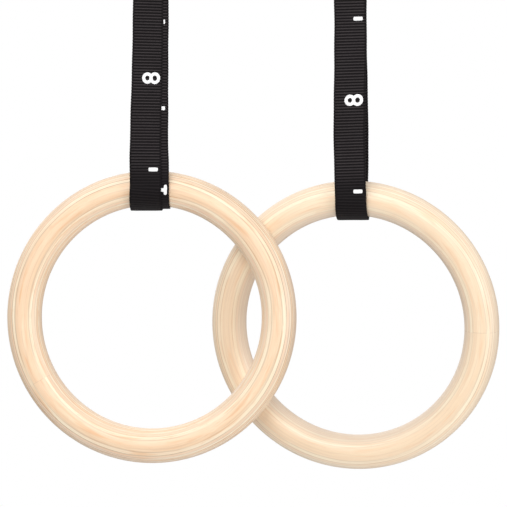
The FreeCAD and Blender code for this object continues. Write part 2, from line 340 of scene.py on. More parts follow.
class Strap:
    """One strap's surface: a point for each distance along it, place across it and height above it."""

    def __init__(self, side):
        self.side = side
        self.middle = strap_route(side)
        self.along = np.arange(len(self.middle)) * ROUTE_STEP
        way = np.gradient(self.middle, axis=0)
        way /= np.linalg.norm(way, axis=1)[:, None]
        across = np.array([1.0, 0, 0]) - way[:, :1] * way
        self.across = across / np.linalg.norm(across, axis=1)[:, None]
        self.out = np.cross(way, self.across)

    def station(self, y, z):
        """Distance along the strap of its nearest point to a place in the YZ plane."""
        gap = np.hypot(self.middle[:, 1] - y, self.middle[:, 2] - z)
        return self.along[int(np.argmin(gap))]

    def pressed_and_shaded(self, along):
        """From 0 where the strap hangs free to 1 where it bears on the ring. The ribs are lower there, and
        the webbing gets painted shade there.
        """
        z = np.interp(along, self.along, self.middle[:, 2])
        return smoothstep((RING_TOP[self.side].z + PRESSED_RISE - z) / PRESSED_RISE)

    def face(self, along, u):
        """Height of the face above the middle line. Ribs are lower at the selvage and on the ring."""
        edge = smoothstep((np.abs(u) - WEB_WIDTH / 2 + SELVAGE) / SELVAGE_SLOPE)
        depth = GROOVE_DEPTH + (PRESSED_DEPTH - GROOVE_DEPTH) * self.pressed_and_shaded(along)
        return WEB_HALF - (1 - rib_height(along)) * depth - edge * SELVAGE_DROP

    def place(self, along, u, height):
        """Where each point of the surface is, with the strap hung and twisted."""
        centre, across, out = [
            np.column_stack([np.interp(along, self.along, field[:, axis]) for axis in range(3)])
            for field in (self.middle, self.across, self.out)
        ]
        return self.hang(centre + across * np.asarray(u)[:, None] + out * np.asarray(height)[:, None])

    def hang(self, points):
        """Turns the front pair aside, twists the lower end to meet the ring, and moves to its side."""
        side, top = self.side, RING_TOP[self.side]
        points = points.copy()
        aside = smoothstep(points[:, 2] / VIEW_DROP)
        aside *= smoothstep((points[:, 2] - top.z - TURN_FOOT) / TURN_REACH)
        front = FRONT_TURN[side] * aside * (points[:, 1] < 0)
        centre = np.column_stack([np.full(len(points), DRIFT[side]["outer"]["front"] / 2),
                                  np.full(len(points), -(BAR_INNER + BAR_OUTER) / 2)])
        points[:, :2] = centre + turned(points[:, :2] - centre, front)
        twist = math.atan2(TILT_AXIS[side].y, TILT_AXIS[side].x)
        share = smoothstep((TWIST_TOP - points[:, 2]) / (TWIST_TOP - top.z - TWIST_RISE))
        points[:, :2] = turned(points[:, :2], twist * share)
        points[:, 0] += top.x
        return points


def turned(flat, angle):
    """Flat points, each turned by its own angle."""
    cos, sin = np.cos(angle), np.sin(angle)
    return np.column_stack([flat[:, 0] * cos - flat[:, 1] * sin, flat[:, 0] * sin + flat[:, 1] * cos])


def rib_height(along):
    """From 0 in a groove to 1 on a rib's crest."""
    return (0.5 - 0.5 * np.cos(2 * np.pi * np.asarray(along) / RIB_PITCH)) ** RIB_POWER


def strap_mesh(strap):
    """The whole strap as one closed tube: a face, a rim, the other face and the other rim in each row."""
    half = WEB_WIDTH / 2
    columns = np.linspace(-half + FACE_INSET, half - FACE_INSET, FACE_COLUMNS)
    section = [(u, 1.0) for u in columns] + [(half, 0.5), (half, -0.5)]
    section += [(u, -1.0) for u in columns[::-1]] + [(-half, -0.5), (-half, 0.5)]
    rows, around = len(strap.along), len(section)
    along = np.repeat(strap.along, around)
    u = np.tile([p[0] for p in section], rows)
    face = np.tile([p[1] for p in section], rows)
    rim = np.abs(face) < 1
    wander = sum(size * np.sin(along * rate + phase) for size, rate, phase in WANDER)
    notch = np.where(rim, np.sign(u) * (rib_height(along) - NOTCH_LEVEL) * NOTCH, 0)
    points = strap.place(along, u + notch + wander, face * strap.face(along, u))
    piece = add_mesh(strap.side + "_strap", points, tube_faces(rows, around), np.column_stack([u, along]))
    add_values(piece, "pressed_and_shaded", "FLOAT", strap.pressed_and_shaded(along))
    return piece


# ---------------------------------------------------------------- printed marks

def curve(centre, radii, angles):
    """Part of an ellipse, from one angle to the other in degrees."""
    turn = np.radians(np.linspace(angles[0], angles[1], CURVE_POINTS))
    return np.column_stack([centre[0] + radii[0] * np.cos(turn), centre[1] + radii[1] * np.sin(turn)])


# Each digit's pen lines, in a box from -1 to 1 both ways. The start mark runs out past the box's left side.
DIGITS = {
    START_MARK: [np.array([(-1.46, -0.86), (-0.76, -0.86)])],
    "0": [curve((0, 0), (1, 1), (0, 360))],
    "1": [np.array([(-0.75, 0.5), (0, 1), (0, -1)]), np.array([(-0.7, -1), (0.7, -1)])],
    "6": [curve((0, -0.42), (1, 0.58), (0, 360)), curve((0.9, -0.42), (1.9, 1.42), (180, 100))],
    "7": [np.array([(-1, 1), (1, 1), (-0.25, -1)])],
    "8": [curve((0, -0.49), (1, 0.51), (0, 360)), curve((0, 0.51), (0.94, 0.49), (0, 360))],
    "9": [curve((0, 0.42), (1, 0.58), (0, 360)), curve((-0.9, 0.42), (1.9, 1.42), (0, -80))],
}


def pen_distance(points, lines):
    """Distance from each point to the nearest pen line."""
    best = np.full(len(points), np.inf)
    for pen in lines:
        for start, end in zip(pen[:-1], pen[1:]):
            leg = end - start
            share = np.clip(((points - start) @ leg) / (leg @ leg), 0, 1)
            best = np.minimum(best, np.linalg.norm(points - start - share[:, None] * leg, axis=1))
    return best


def ink_patch(lines, stroke):
    """Grid cells inside the pen's stroke, with the outline's corners drawn in to its edge."""
    everything = np.vstack(lines)
    low = everything.min(axis=0) - stroke
    high = everything.max(axis=0) + stroke
    size = np.ceil((high - low) / INK_CELL).astype(int) + 1
    grid = np.stack(np.meshgrid(np.arange(size[0]), np.arange(size[1]), indexing="ij"), axis=-1)
    points = low + grid.reshape(-1, 2) * INK_CELL
    depth = pen_distance(points, lines) - stroke / 2
    nudge = 1e-6
    slope = np.column_stack([
        pen_distance(points + (nudge, 0), lines) - pen_distance(points - (nudge, 0), lines),
        pen_distance(points + (0, nudge), lines) - pen_distance(points - (0, nudge), lines),
    ]) / (2 * nudge)
    cells = []
    for i in range(size[0] - 1):
        first = i * size[1] + np.arange(size[1] - 1)
        cells.append(np.column_stack([first, first + size[1], first + size[1] + 1, first + 1]))
    cells = np.vstack(cells)
    cells = cells[(depth[cells] < INK_SPILL).all(axis=1) & (depth[cells].mean(axis=1) < 0)]
    edge = np.abs(depth) < INK_EDGE
    points[edge] -= slope[edge] * depth[edge, None]
    used, cells = np.unique(cells, return_inverse=True)
    return points[used], cells.reshape(-1, 4)


def number_marks(strap, ring_y, rise, texts, known):
    """Pen lines and strokes of a run of texts, the known one at a height, and a dash after each."""
    base = strap.station(-ring_y, RING_TOP[strap.side].z + rise)
    half = np.array([(DIGIT_WIDTH - DIGIT_STROKE) / 2, (DIGIT_LENGTH - DIGIT_STROKE) / 2])
    middle = INK_RIGHT - DIGIT_LENGTH / 2
    marks = []
    for index, text in enumerate(texts):
        along = base + (index - known) * NUMBER_PITCH
        for place, digit in enumerate(text):
            shift = (place - (len(text) - 1) / 2) * DIGIT_PITCH
            lines = []
            for pen in DIGITS[digit]:
                scaled = pen * half
                lines.append(np.column_stack([middle - scaled[:, 1], along - shift - scaled[:, 0]]))
            marks.append((lines, START_STROKE if digit == START_MARK else DIGIT_STROKE))
        right = INK_RIGHT - DASH_INSET - DASH_CORNER
        left = INK_RIGHT - DASH_INSET - DASH_LENGTH + DASH_CORNER
        rows = along + DASH_BELOW + np.linspace(-0.5, 0.5, DASH_ROWS) * (DASH_WIDTH - 2 * DASH_CORNER)
        marks.append(([np.array([(right, row), (left, row)]) for row in rows], 2 * DASH_CORNER))
    return marks


def ink_mesh(strap):
    """Every mark of one strap, as thin closed patches that stand on the ribs."""
    side = strap.side
    inner_y = RING_INNER[side]
    outer_y = inner_y + RING_LAP_STEP
    marks = number_marks(strap, outer_y, OUTER_NUMBER_RISE[side], ("6", "7", "8", "9", "10"), 2)
    marks += number_marks(strap, inner_y, INNER_NUMBER_RISE[side], (START_MARK, "1"), 1)
    points, faces = [], []
    for lines, stroke in marks:
        flat, cells = ink_patch(lines, stroke)
        height = strap.face(flat[:, 1], flat[:, 0])
        top = strap.place(flat[:, 1], flat[:, 0], height + INK_LIFT)
        low = strap.place(flat[:, 1], flat[:, 0], height - INK_SINK)
        base, count = sum(len(p) for p in points), len(flat)
        points += [top, low]
        faces += [tuple(cell + base) for cell in cells]
        faces += [tuple(cell[::-1] + base + count) for cell in cells]
        edges = dict.fromkeys((a, b) for cell in cells for a, b in zip(cell, np.roll(cell, -1)))
        rim = [(a, b) for a, b in edges if (b, a) not in edges]
        faces += [(b + base, a + base, a + base + count, b + base + count) for a, b in rim]
    return add_mesh(side + "_strap_marks", np.vstack(points), faces)


# ---------------------------------------------------------------- keeper, stitches

def keeper_mesh(side):
    """Woven elastic loop with fine cords round it."""
    low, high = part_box(side + "_keeper_band")
    middle, half = (low + high) / 2, (high - low) / 2
    outline = []
    for quarter, (sx, sy) in enumerate(((1, 1), (-1, 1), (-1, -1), (1, -1))):
        for angle in np.linspace(quarter * 90, quarter * 90 + 90, KEEPER_CORNER_POINTS):
            nx, ny = math.cos(math.radians(angle)), math.sin(math.radians(angle))
            outline.append((sx * (half.x - KEEPER_CORNER) + KEEPER_CORNER * nx,
                            sy * (half.y - KEEPER_CORNER) + KEEPER_CORNER * ny, nx, ny))
    profile = []
    for z in np.linspace(-half.z, half.z, KEEPER_ROWS):
        cord = CORD_DEPTH * abs(math.sin(math.pi * z / CORD_PITCH))
        round_off = RIM_DROP * max(0.0, (abs(z) / half.z - 1 + RIM_SHARE) / RIM_SHARE)
        profile.append((z, cord - round_off - CORD_DEPTH))
    profile += [(z, -KEEPER_WALL) for z, _ in profile[::-1]]
    points = []
    for x, y, nx, ny in outline:
        for z, rise in profile:
            points.append((middle.x + x + nx * rise, middle.y + y + ny * rise, middle.z + z))
    return add_mesh(side + "_keeper", points, tube_faces(len(outline), len(profile), closed=True))


def stitch_points(start, end, out):
    """One stitch as a short arched thread, its ends sunk in the cloth."""
    way = end - start
    aside = way.cross(out).normalized()
    points = []
    for row in range(STITCH_ROWS):
        share = row / (STITCH_ROWS - 1)
        centre = start + way * share + out * (math.sin(math.pi * share) * STITCH_ARCH - STITCH_SINK)
        for k in range(THREAD_SIDES):
            turn = 2 * math.pi * k / THREAD_SIDES
            points.append(centre + (out * math.sin(turn) + aside * math.cos(turn)) * THREAD_R)
    return points


def seam(points, faces, start, end, out):
    """Adds a row of stitches, evenly spaced from the start to the end."""
    count = max(1, round((end - start).length / STITCH_PITCH))
    for index in range(count):
        a = start.lerp(end, index / count)
        b = start.lerp(end, (index + 1) / count)
        gap = (b - a).normalized() * STITCH_GAP / 2
        base = len(points)
        points += stitch_points(a + gap, b - gap, out)
        faces += [tuple(i + base for i in face) for face in tube_faces(STITCH_ROWS, THREAD_SIDES)]


def box_stitch_mesh(side):
    """Rectangle and cross through the sewn end, seen on both of its faces."""
    low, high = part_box(side + "_sewn_end_stitching")
    left, right = low.x + BOX_INSET, high.x - BOX_INSET
    points, faces = [], []
    fold_face = BAR_INNER - LAP_STEP - WEB_HALF
    strand_face = BAR_INNER + WEB_HALF
    for y, out in ((fold_face, Vector((0, -1, 0))), (strand_face, Vector((0, 1, 0)))):
        corners = [Vector((x, y, z))
                   for x, z in ((left, low.z), (right, low.z), (right, high.z), (left, high.z))]
        for a, b in ((0, 1), (1, 2), (2, 3), (3, 0), (0, 2), (1, 3)):
            seam(points, faces, corners[a], corners[b], out)
    return add_mesh(side + "_box_stitches", points, faces)


def hem_stitch_mesh(side):
    """Two pairs of rows across the free end."""
    low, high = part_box(side + "_hem_stitching")
    y = BAR_OUTER + LAP_STEP + WEB_HALF
    near, far = HEM_ROW_INSETS
    points, faces = [], []
    for z in (low.z + near, low.z + far, high.z - far, high.z - near):
        seam(points, faces, Vector((low.x, y, z)), Vector((high.x, y, z)), Vector((0, 1, 0)))
    return add_mesh(side + "_hem_stitches", points, faces)


# ---------------------------------------------------------------- cam spring

def eased(points, reach):
    """The same path with every sharp corner turned into a small curve."""
    path = [points[0]]
    for before, corner, after in zip(points, points[1:], points[2:]):
        way_in, way_out = corner - before, after - corner
        if way_in.angle(way_out) < SHARP_CORNER:
            path.append(corner)
            continue
        low = corner - way_in.normalized() * min(reach, way_in.length / 2)
        high = corner + way_out.normalized() * min(reach, way_out.length / 2)
        for share in (0.0, 0.25, 0.5, 0.75, 1.0):
            path.append(low.lerp(corner, share).lerp(corner.lerp(high, share), share))
    return path + [points[-1]]


def spoke(x, angle, reach):
    """A step along X, and out from it at an angle from +Y towards +Z."""
    return Vector((x, reach * math.cos(angle), reach * math.sin(angle)))


def spring_mesh(side):
    """Torsion coil on the pin: one leg lies under the lever's tab, the other ends in the cheek.

    It winds up with the lever, from the lever's leg to the anchored one."""
    hub = Vector(JOINTS[side + "_cam_release"]["pos_m"])
    coil = []
    for step in range(COIL_STEPS + 1):
        turns = COIL_TURNS * step / COIL_STEPS
        angle = 2 * math.pi * turns - math.pi / 2
        coil.append(hub + spoke(COIL_START + COIL_PITCH * turns, angle, COIL_R))
    tip = coil[0] + spoke(0, LEVER_TURN, LEVER_LEG)
    anchor = hub + spoke(ANCHOR_X, ANCHOR_TURN, ANCHOR_REACH)
    knee = Vector((coil[-1].x, anchor.y, anchor.z))
    path = eased([tip] + coil + [knee, anchor], SPRING_BEND)
    spring = wire_mesh(side + "_spring_coil", path, SPRING_WIRE_R)
    put_on(spring, MATERIALS["spring_wire"])
    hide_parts(side + "_buckle_cam_spring")
    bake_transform(spring)


# ---------------------------------------------------------------- ring

def ring_mesh(side):
    """The ring as it rests. Each vertex keeps its place in the ring's own axes, where plies lie across Y."""
    around = np.linspace(0, 2 * np.pi, RING_STEPS, endpoint=False)
    across = np.linspace(0, 2 * np.pi, GRIP_STEPS, endpoint=False)
    turn, roll = [grid.ravel() for grid in np.meshgrid(around, across, indexing="ij")]
    reach = RING_R + GRIP_R * np.cos(roll)
    points = np.column_stack([reach * np.cos(turn), -GRIP_R * np.sin(roll), reach * np.sin(turn)])
    faces = [(a, d, c, b) for a, b, c, d in tube_faces(RING_STEPS, GRIP_STEPS, closed=True)]
    turnout = math.atan2(TILT_AXIS[side].y, TILT_AXIS[side].x)
    rest = (Matrix.Translation(RING_TOP[side]) @ Matrix.Rotation(turnout, 4, "Z")
            @ Matrix.Rotation(REST_TILT[side], 4, "X") @ Matrix.Translation((0, 0, -RING_R)))
    piece = add_mesh(side + "_wood_ring", [rest @ Vector(p) for p in points], faces)
    add_values(piece, "in_ring", "FLOAT_VECTOR", points)
    return piece


# ---------------------------------------------------------------- materials

class Shader:
    """Short names for the nodes that the materials share."""

    def __init__(self, name):
        self.material = bpy.data.materials.new(name)
        self.material.use_nodes = True
        self.tree = self.material.node_tree
        self.surface = self.tree.nodes["Principled BSDF"]

    def node(self, kind, **values):
        node = self.tree.nodes.new(kind)
        for name, value in values.items():
            setattr(node, name, value)
        return node

    def join(self, source, socket):
        if isinstance(source, bpy.types.NodeSocket):
            self.tree.links.new(source, socket)
        else:
            socket.default_value = source

    def maths(self, operation, *values):
        node = self.node("ShaderNodeMath", operation=operation)
        for index, value in enumerate(values):
            self.join(value, node.inputs[index])
        return node.outputs[0]

    def plus(self, first, second):
        return self.maths("ADD", first, second)

    def minus(self, first, second):
        return self.maths("SUBTRACT", first, second)

    def times(self, first, second):
        return self.maths("MULTIPLY", first, second)

    def over(self, first, second):
        return self.maths("DIVIDE", first, second)

    def absolute(self, value):
        return self.maths("ABSOLUTE", value)

    def blend(self, share, first, second):
        node = self.node("ShaderNodeMix", data_type="RGBA")
        self.join(share, node.inputs["Factor"])
        self.join(first, node.inputs[6])
        self.join(second, node.inputs[7])
        return node.outputs[2]

    def between(self, value, low, high, new_low=0.0, new_high=1.0):
        """A soft step from the new low value to the new high one."""
        node = self.node("ShaderNodeMapRange", interpolation_type="SMOOTHSTEP")
        for index, each in enumerate((value, low, high, new_low, new_high)):
            self.join(each, node.inputs[index])
        return node.outputs[0]

    def vector(self, x, y, z):
        node = self.node("ShaderNodeCombineXYZ")
        for index, value in enumerate((x, y, z)):
            self.join(value, node.inputs[index])
        return node.outputs[0]

    def noise(self, vector, scale=1.0, detail=4.0, roughness=0.55, distortion=0.0):
        node = self.node("ShaderNodeTexNoise")
        self.join(vector, node.inputs["Vector"])
        node.inputs["Scale"].default_value = scale
        node.inputs["Detail"].default_value = detail
        node.inputs["Roughness"].default_value = roughness
        node.inputs["Distortion"].default_value = distortion
        return node.outputs["Fac"]

    def split(self, vector):
        node = self.node("ShaderNodeSeparateXYZ")
        self.join(vector, node.inputs[0])
        return node.outputs[0], node.outputs[1], node.outputs[2]

    def place(self):
        return self.node("ShaderNodeTexCoord").outputs["Object"]

    def bump(self, height, strength, distance):
        node = self.node("ShaderNodeBump")
        self.join(height, node.inputs["Height"])
        node.inputs["Strength"].default_value = strength
        node.inputs["Distance"].default_value = distance
        self.tree.links.new(node.outputs[0], self.surface.inputs["Normal"])

    def set(self, **values):
        for name, value in values.items():
            self.join(value, self.surface.inputs[name.replace("_", " ")])
        return self.material


# Plies: two face plies and the rest between them, laid slightly askew and not quite flat.
PLIES = 19
FACE_PLY = 0.00091
PLY = 2 * (GRIP_R - FACE_PLY) / (PLIES - 2)
PLY_TILT = {"left": (0.0016, -0.0020), "right": (-0.0018, 0.0014)}
PLY_WAVE = 0.0012
# The glued joint's line: half its width, and where it has faded out.
JOINT_HALF = 0.0001
JOINT_FADE = 0.0003

# Wood colours, and the relief of its grain.
GLUE = (0.36, 0.22, 0.13, 1)
CREAM = (0.95, 0.83, 0.63, 1)
PEACH = (0.87, 0.625, 0.415, 1)
ORANGE = (0.82, 0.50, 0.28, 1)
PINK_TAN = (0.83, 0.65, 0.52, 1)
OLIVE_TAN = (0.84, 0.715, 0.54, 1)
GREY_TAN = (0.66, 0.54, 0.44, 1)
BROWN = (0.66, 0.44, 0.29, 1)
GRAIN_RELIEF = 0.00012


def birch(side, seed, joint_angle, paleness, glue_share, painted_hole_shade):
    """Birch plies stacked along the ring's axis, with the grain running round and broken at the joint."""
    s = Shader(side + "_birch")
    where = s.node("ShaderNodeAttribute", attribute_name="in_ring").outputs["Vector"]
    x, y, z = s.split(where)

    # Distances off the joint's radius, away from the joint, round the ring and out from its centre.
    cos, sin = math.cos(math.radians(joint_angle)), math.sin(math.radians(joint_angle))
    off = s.minus(s.times(x, sin), s.times(z, cos))
    behind = s.minus(s.times(x, -cos), s.times(z, sin))
    arc = s.times(s.maths("ARCTAN2", off, behind), RING_R)
    reach = s.maths("SQRT", s.plus(s.times(x, x), s.times(z, z)))
    # From 0 at the bar's front and back to 1 at its outer and hole sides, and to 1 at the hole side alone.
    wall = s.over(s.absolute(s.minus(reach, RING_R)), GRIP_R)
    hole = s.over(s.minus(RING_R, reach), GRIP_R)

    # The ply that a point is in, how far through it, and that ply's own chance.
    tilt_x, tilt_z = PLY_TILT[side]
    drift = s.noise(where, scale=11, detail=1)
    level = s.plus(y, s.times(s.minus(drift, 0.5), PLY_WAVE))
    level = s.plus(level, s.plus(s.times(x, tilt_x), s.times(z, tilt_z)))
    depth = s.over(s.plus(level, GRIP_R + PLY - FACE_PLY), PLY)
    index = s.maths("FLOOR", depth)
    within = s.maths("FRACT", depth)
    chance = s.node("ShaderNodeTexWhiteNoise", noise_dimensions="1D")
    s.join(s.plus(index, seed), chance.inputs["W"])

    def grain(long_scale, cross_scale, depth_scale, **values):
        """Noise drawn out along the fibres."""
        scaled = [s.times(value, scale)
                  for value, scale in ((arc, long_scale), (reach, cross_scale), (level, depth_scale))]
        return s.noise(s.vector(*scaled), **values)

    rings = grain(12, 60, 2300, detail=3, roughness=0.6)
    blotch = grain(24, 220, 1500, detail=2, distortion=0.3)
    flecks = grain(110, 1100, 600, detail=3, roughness=0.6)
    lines = grain(7, 850, 2600, detail=3, roughness=0.7)
    widen = s.between(grain(9, 9, 300, detail=2), 0.3, 0.65, 0.45, 1.0)

    # Warm and pale plies by turns, then the stains, then grey patches on the outer and hole sides, this
    # ring's own paleness, and painted shade in its hole.
    face = s.between(s.absolute(level), GRIP_R - 3.2 * PLY, GRIP_R - 1.3 * PLY)
    kind = s.between(chance.outputs["Value"], 0.2, 0.9)
    warm = s.blend(face, s.blend(kind, PINK_TAN, PEACH), PEACH)
    pale = s.blend(face, s.blend(kind, OLIVE_TAN, CREAM), CREAM)
    turn = s.maths("PINGPONG", s.plus(depth, 0.5), 1.0)
    colour = s.blend(s.times(s.between(turn, 0.82, 0.25), widen), warm, pale)
    # Each stain: the pattern that it follows, where it starts and is full there, its share and its colour.
    stains = (
        (rings, 0.5, 0.75, 0.45, CREAM),
        (rings, 0.5, 0.25, 0.3, PINK_TAN),
        (blotch, 0.53, 0.72, 0.85, ORANGE),
        (flecks, 0.53, 0.74, 0.5, ORANGE),
        (lines, 0.5, 0.6, 0.35, BROWN),
    )
    for pattern, start, full, share, stain in stains:
        colour = s.blend(s.between(pattern, start, full, 0.0, share), colour, stain)
    # Grey patches on the outer and hole sides, none on the front and back.
    grey_sides = s.times(s.between(s.noise(where, scale=13, detail=2), 0.35, 0.65), wall)
    colour = s.blend(s.between(grey_sides, 0.3, 1.0, 0.0, 0.28), colour, GREY_TAN)
    colour = s.blend(paleness, colour, CREAM)
    # Painted shade: the hole side is greyed towards GREY_TAN, as much as this ring's share of it.
    colour = s.blend(s.between(hole, 0.35, 0.85, 0.0, painted_hole_shade), colour, GREY_TAN)

    # Glue lines show in patches, faintest at the ring's front and back, and half as strong in its hole.
    glue = s.between(s.absolute(s.minus(within, 0.5)), 0.31, 0.46)
    patchy = s.vector(s.times(x, 16), s.times(index, 3.3), s.times(z, 16))
    strength = s.times(s.between(s.noise(patchy, detail=2), 0.36, 0.56, 0.22 * glue_share, glue_share),
                       s.between(wall, 0.2, 0.6, 0.2, 1.0))
    strength = s.times(strength, s.between(hole, 0.1, 0.6, 1.0, 0.5))
    strength = s.times(strength, s.between(chance.outputs["Value"], 0.1, 0.9, 0.35, 1.0))
    colour = s.blend(s.times(glue, strength), colour, GLUE)
    joint = s.between(s.absolute(off), JOINT_HALF, JOINT_FADE, 0.28, 0.0)
    joint = s.times(joint, s.maths("LESS_THAN", behind, 0.0))
    colour = s.blend(s.times(joint, s.between(turn, 0.4, 0.5)), colour, GLUE)
    s.bump(s.minus(s.plus(flecks, rings), glue), 0.1, GRAIN_RELIEF)
    rough = s.between(flecks, 0.2, 0.8, 0.38, 0.5)
    return s.set(Base_Color=colour, Roughness=rough, Coat_Weight=0.2, Coat_Roughness=0.3)


# Webbing, ink, thread and elastic: pitches, reliefs and colours.
YARN_PITCH = 0.00046
YARN_SLANT = 0.9
YARN_RELIEF = 0.00012
FUZZ_SCALE = 900
PLAIN_SELVAGE = (0.0018, 0.0010)
YARN_DARK = (0.030, 0.025, 0.026, 1)
YARN_LIGHT = (0.044, 0.037, 0.039, 1)
YARN_FUZZ = (0.066, 0.058, 0.060, 1)
YARN_WORN = (0.060, 0.052, 0.054, 1)
# Painted shade in the grooves between ribs; the plain selvage takes this dark colour too.
GROOVE_SHADE_AND_SELVAGE = (0.0052, 0.0038, 0.0045, 1)
INK_WHITE = (0.92, 0.92, 0.92, 1)
INK_WORN = (0.62, 0.61, 0.60, 1)
INK_RELIEF = 0.00005
THREAD_DARK = (0.022, 0.020, 0.020, 1)
THREAD_LIGHT = (0.06, 0.056, 0.056, 1)
THREAD_RELIEF = 0.00006
ELASTIC_DARK = (0.006, 0.006, 0.007, 1)
ELASTIC_CORD = (0.022, 0.021, 0.022, 1)
ELASTIC_KNIT = (0.036, 0.034, 0.036, 1)
ELASTIC_RELIEF = 0.0001


def webbing():
    """Black ribbed webbing: painted shade in the grooves between ribs and where the strap bears on the ring,
    and the yarns that cross each rib.
    """
    s = Shader("webbing")
    uv = s.node("ShaderNodeUVMap", uv_map="Cloth")
    u, along, _ = s.split(uv.outputs[0])
    pressed_and_shaded = s.node("ShaderNodeAttribute", attribute_name="pressed_and_shaded").outputs["Fac"]
    rib = s.over(along, RIB_PITCH)
    crest = s.minus(0.5, s.times(s.maths("COSINE", s.times(rib, 2 * math.pi)), 0.5))
    slant = s.times(s.maths("FRACT", rib), YARN_SLANT)
    yarn = s.maths("SINE", s.times(s.plus(s.over(u, YARN_PITCH), slant), 2 * math.pi))
    strand = s.between(yarn, -1.0, 1.0)
    fuzz = s.noise(s.vector(s.times(u, FUZZ_SCALE), s.times(along, FUZZ_SCALE), 0.0), detail=3)
    patch = s.noise(s.vector(s.times(u, 40), s.times(along, 25), 0.0), detail=2)
    light = s.blend(strand, YARN_DARK, YARN_LIGHT)
    light = s.blend(s.between(fuzz, 0.5, 0.8, 0.0, 0.4), light, YARN_FUZZ)
    light = s.blend(s.between(patch, 0.4, 0.7, 0.0, 0.25), light, YARN_WORN)
    inner, outer = [WEB_WIDTH / 2 - inset for inset in PLAIN_SELVAGE]
    edge = s.between(s.absolute(u), inner, outer, 1.0, 0.3)
    # Painted shade: grooves get the dark groove colour, and so does the plain selvage.
    raised = s.times(s.between(crest, 0.38, 0.95), edge)
    # Painted shade: less of each rib stays light where the strap bears on the ring.
    raised = s.times(raised, s.between(pressed_and_shaded, 0.0, 1.0, 1.0, 0.25))
    colour = s.blend(raised, GROOVE_SHADE_AND_SELVAGE, light)
    s.bump(s.plus(s.times(strand, 0.6), s.times(fuzz, 0.4)), 0.45, YARN_RELIEF)
    rough = s.between(fuzz, 0.3, 0.7, 0.62, 0.8)
    return s.set(Base_Color=colour, Roughness=rough, Specular_IOR_Level=0.1,
                 Sheen_Weight=0.02, Sheen_Roughness=0.5)


def ink():
    """White print, rubbed thin in specks."""
    s = Shader("white_ink")
    wear = s.noise(s.place(), scale=2600, detail=3)
    colour = s.blend(s.between(wear, 0.62, 0.82, 0.0, 0.5), INK_WHITE, INK_WORN)
    s.bump(wear, 0.3, INK_RELIEF)
    return s.set(Base_Color=colour, Roughness=s.between(wear, 0.3, 0.8, 0.5, 0.7))


def thread():
    """Black twisted thread."""
    s = Shader("thread")
    wave = s.node("ShaderNodeTexWave", wave_type="BANDS", bands_direction="DIAGONAL")
    s.join(s.place(), wave.inputs["Vector"])
    wave.inputs["Scale"].default_value = 900
    wave.inputs["Distortion"].default_value = 0.6
    twist = wave.outputs["Fac"]
    s.bump(twist, 0.5, THREAD_RELIEF)
    return s.set(Base_Color=s.blend(twist, THREAD_DARK, THREAD_LIGHT),
                 Roughness=s.between(twist, 0.0, 1.0, 0.5, 0.62))


def elastic():
    """Black elastic: cords that run round the band, with a knit across them."""
    s = Shader("keeper_elastic")
    where = s.place()
    x, y, z = s.split(where)
    cords = s.absolute(s.maths("SINE", s.times(z, math.pi / CORD_PITCH)))
    knit = s.maths("SINE", s.times(s.plus(x, y), 2 * math.pi / KNIT_PITCH))
    fuzz = s.noise(where, scale=1800, detail=3)
    colour = s.blend(s.between(cords, 0.1, 0.8), ELASTIC_DARK, ELASTIC_CORD)
    colour = s.blend(s.between(knit, -0.4, 1.0, 0.0, 0.35), colour, ELASTIC_KNIT)
    s.bump(s.plus(knit, fuzz), 0.35, ELASTIC_RELIEF)
    return s.set(Base_Color=colour, Roughness=s.between(fuzz, 0.3, 0.7, 0.6, 0.75), Sheen_Weight=0.15)


# Metal: how dark its clouds are, its bright streaks, its relief, and how far streaks are drawn out.
METAL_SHADE = 0.72
METAL_BRIGHT = (0.86, 0.86, 0.85, 1)
METAL_RELIEF = 0.00008
BRUSH_STRETCH = 0.04


def metal(name, colour, rough, brush_scale, pits):
    """Worked metal: brushed one way, a little cloudy, with fine scratches or casting pits."""
    s = Shader(name)
    where = s.place()
    x, y, z = s.split(where)
    brushed = s.vector(s.times(x, brush_scale * BRUSH_STRETCH), s.times(y, brush_scale),
                       s.times(z, brush_scale))
    streak = s.noise(brushed, detail=4, roughness=0.7)
    cloud = s.noise(where, scale=160, detail=3)
    pit = s.noise(where, scale=2400, detail=2)
    dark = tuple(channel * METAL_SHADE for channel in colour) + (1,)
    shade = s.blend(s.between(cloud, 0.35, 0.7), colour + (1,), dark)
    shade = s.blend(s.between(streak, 0.55, 0.8, 0.0, 0.35), shade, METAL_BRIGHT)
    polish = s.plus(s.between(cloud, 0.3, 0.7, rough - 0.06, rough + 0.08),
                     s.between(streak, 0.2, 0.8, -0.05, 0.07))
    s.bump(s.plus(streak, s.times(pit, pits)), 0.18, METAL_RELIEF)
    return s.set(Base_Color=shade, Metallic=1.0, Roughness=polish)


MATERIALS = {
    "left_birch": birch("left", seed=2.0, joint_angle=210, paleness=0.0, glue_share=1.0, painted_hole_shade=0.0),
    "right_birch": birch("right", seed=5.0, joint_angle=-2, paleness=0.3, glue_share=0.5, painted_hole_shade=0.5),
    "webbing": webbing(),
    "ink": ink(),
    "thread": thread(),
    "elastic": elastic(),
    "frame_steel": metal("frame_steel", (0.60, 0.60, 0.59), rough=0.34, brush_scale=2600, pits=0.2),
    "rivet_steel": metal("rivet_steel", (0.66, 0.66, 0.66), rough=0.26, brush_scale=3000, pits=0.1),
    "cast_zinc": metal("cast_zinc", (0.46, 0.46, 0.47), rough=0.42, brush_scale=900, pits=1.2),
    "spring_wire": metal("spring_wire", (0.36, 0.36, 0.37), rough=0.30, brush_scale=3600, pits=0.1),
}


# ---------------------------------------------------------------- the model

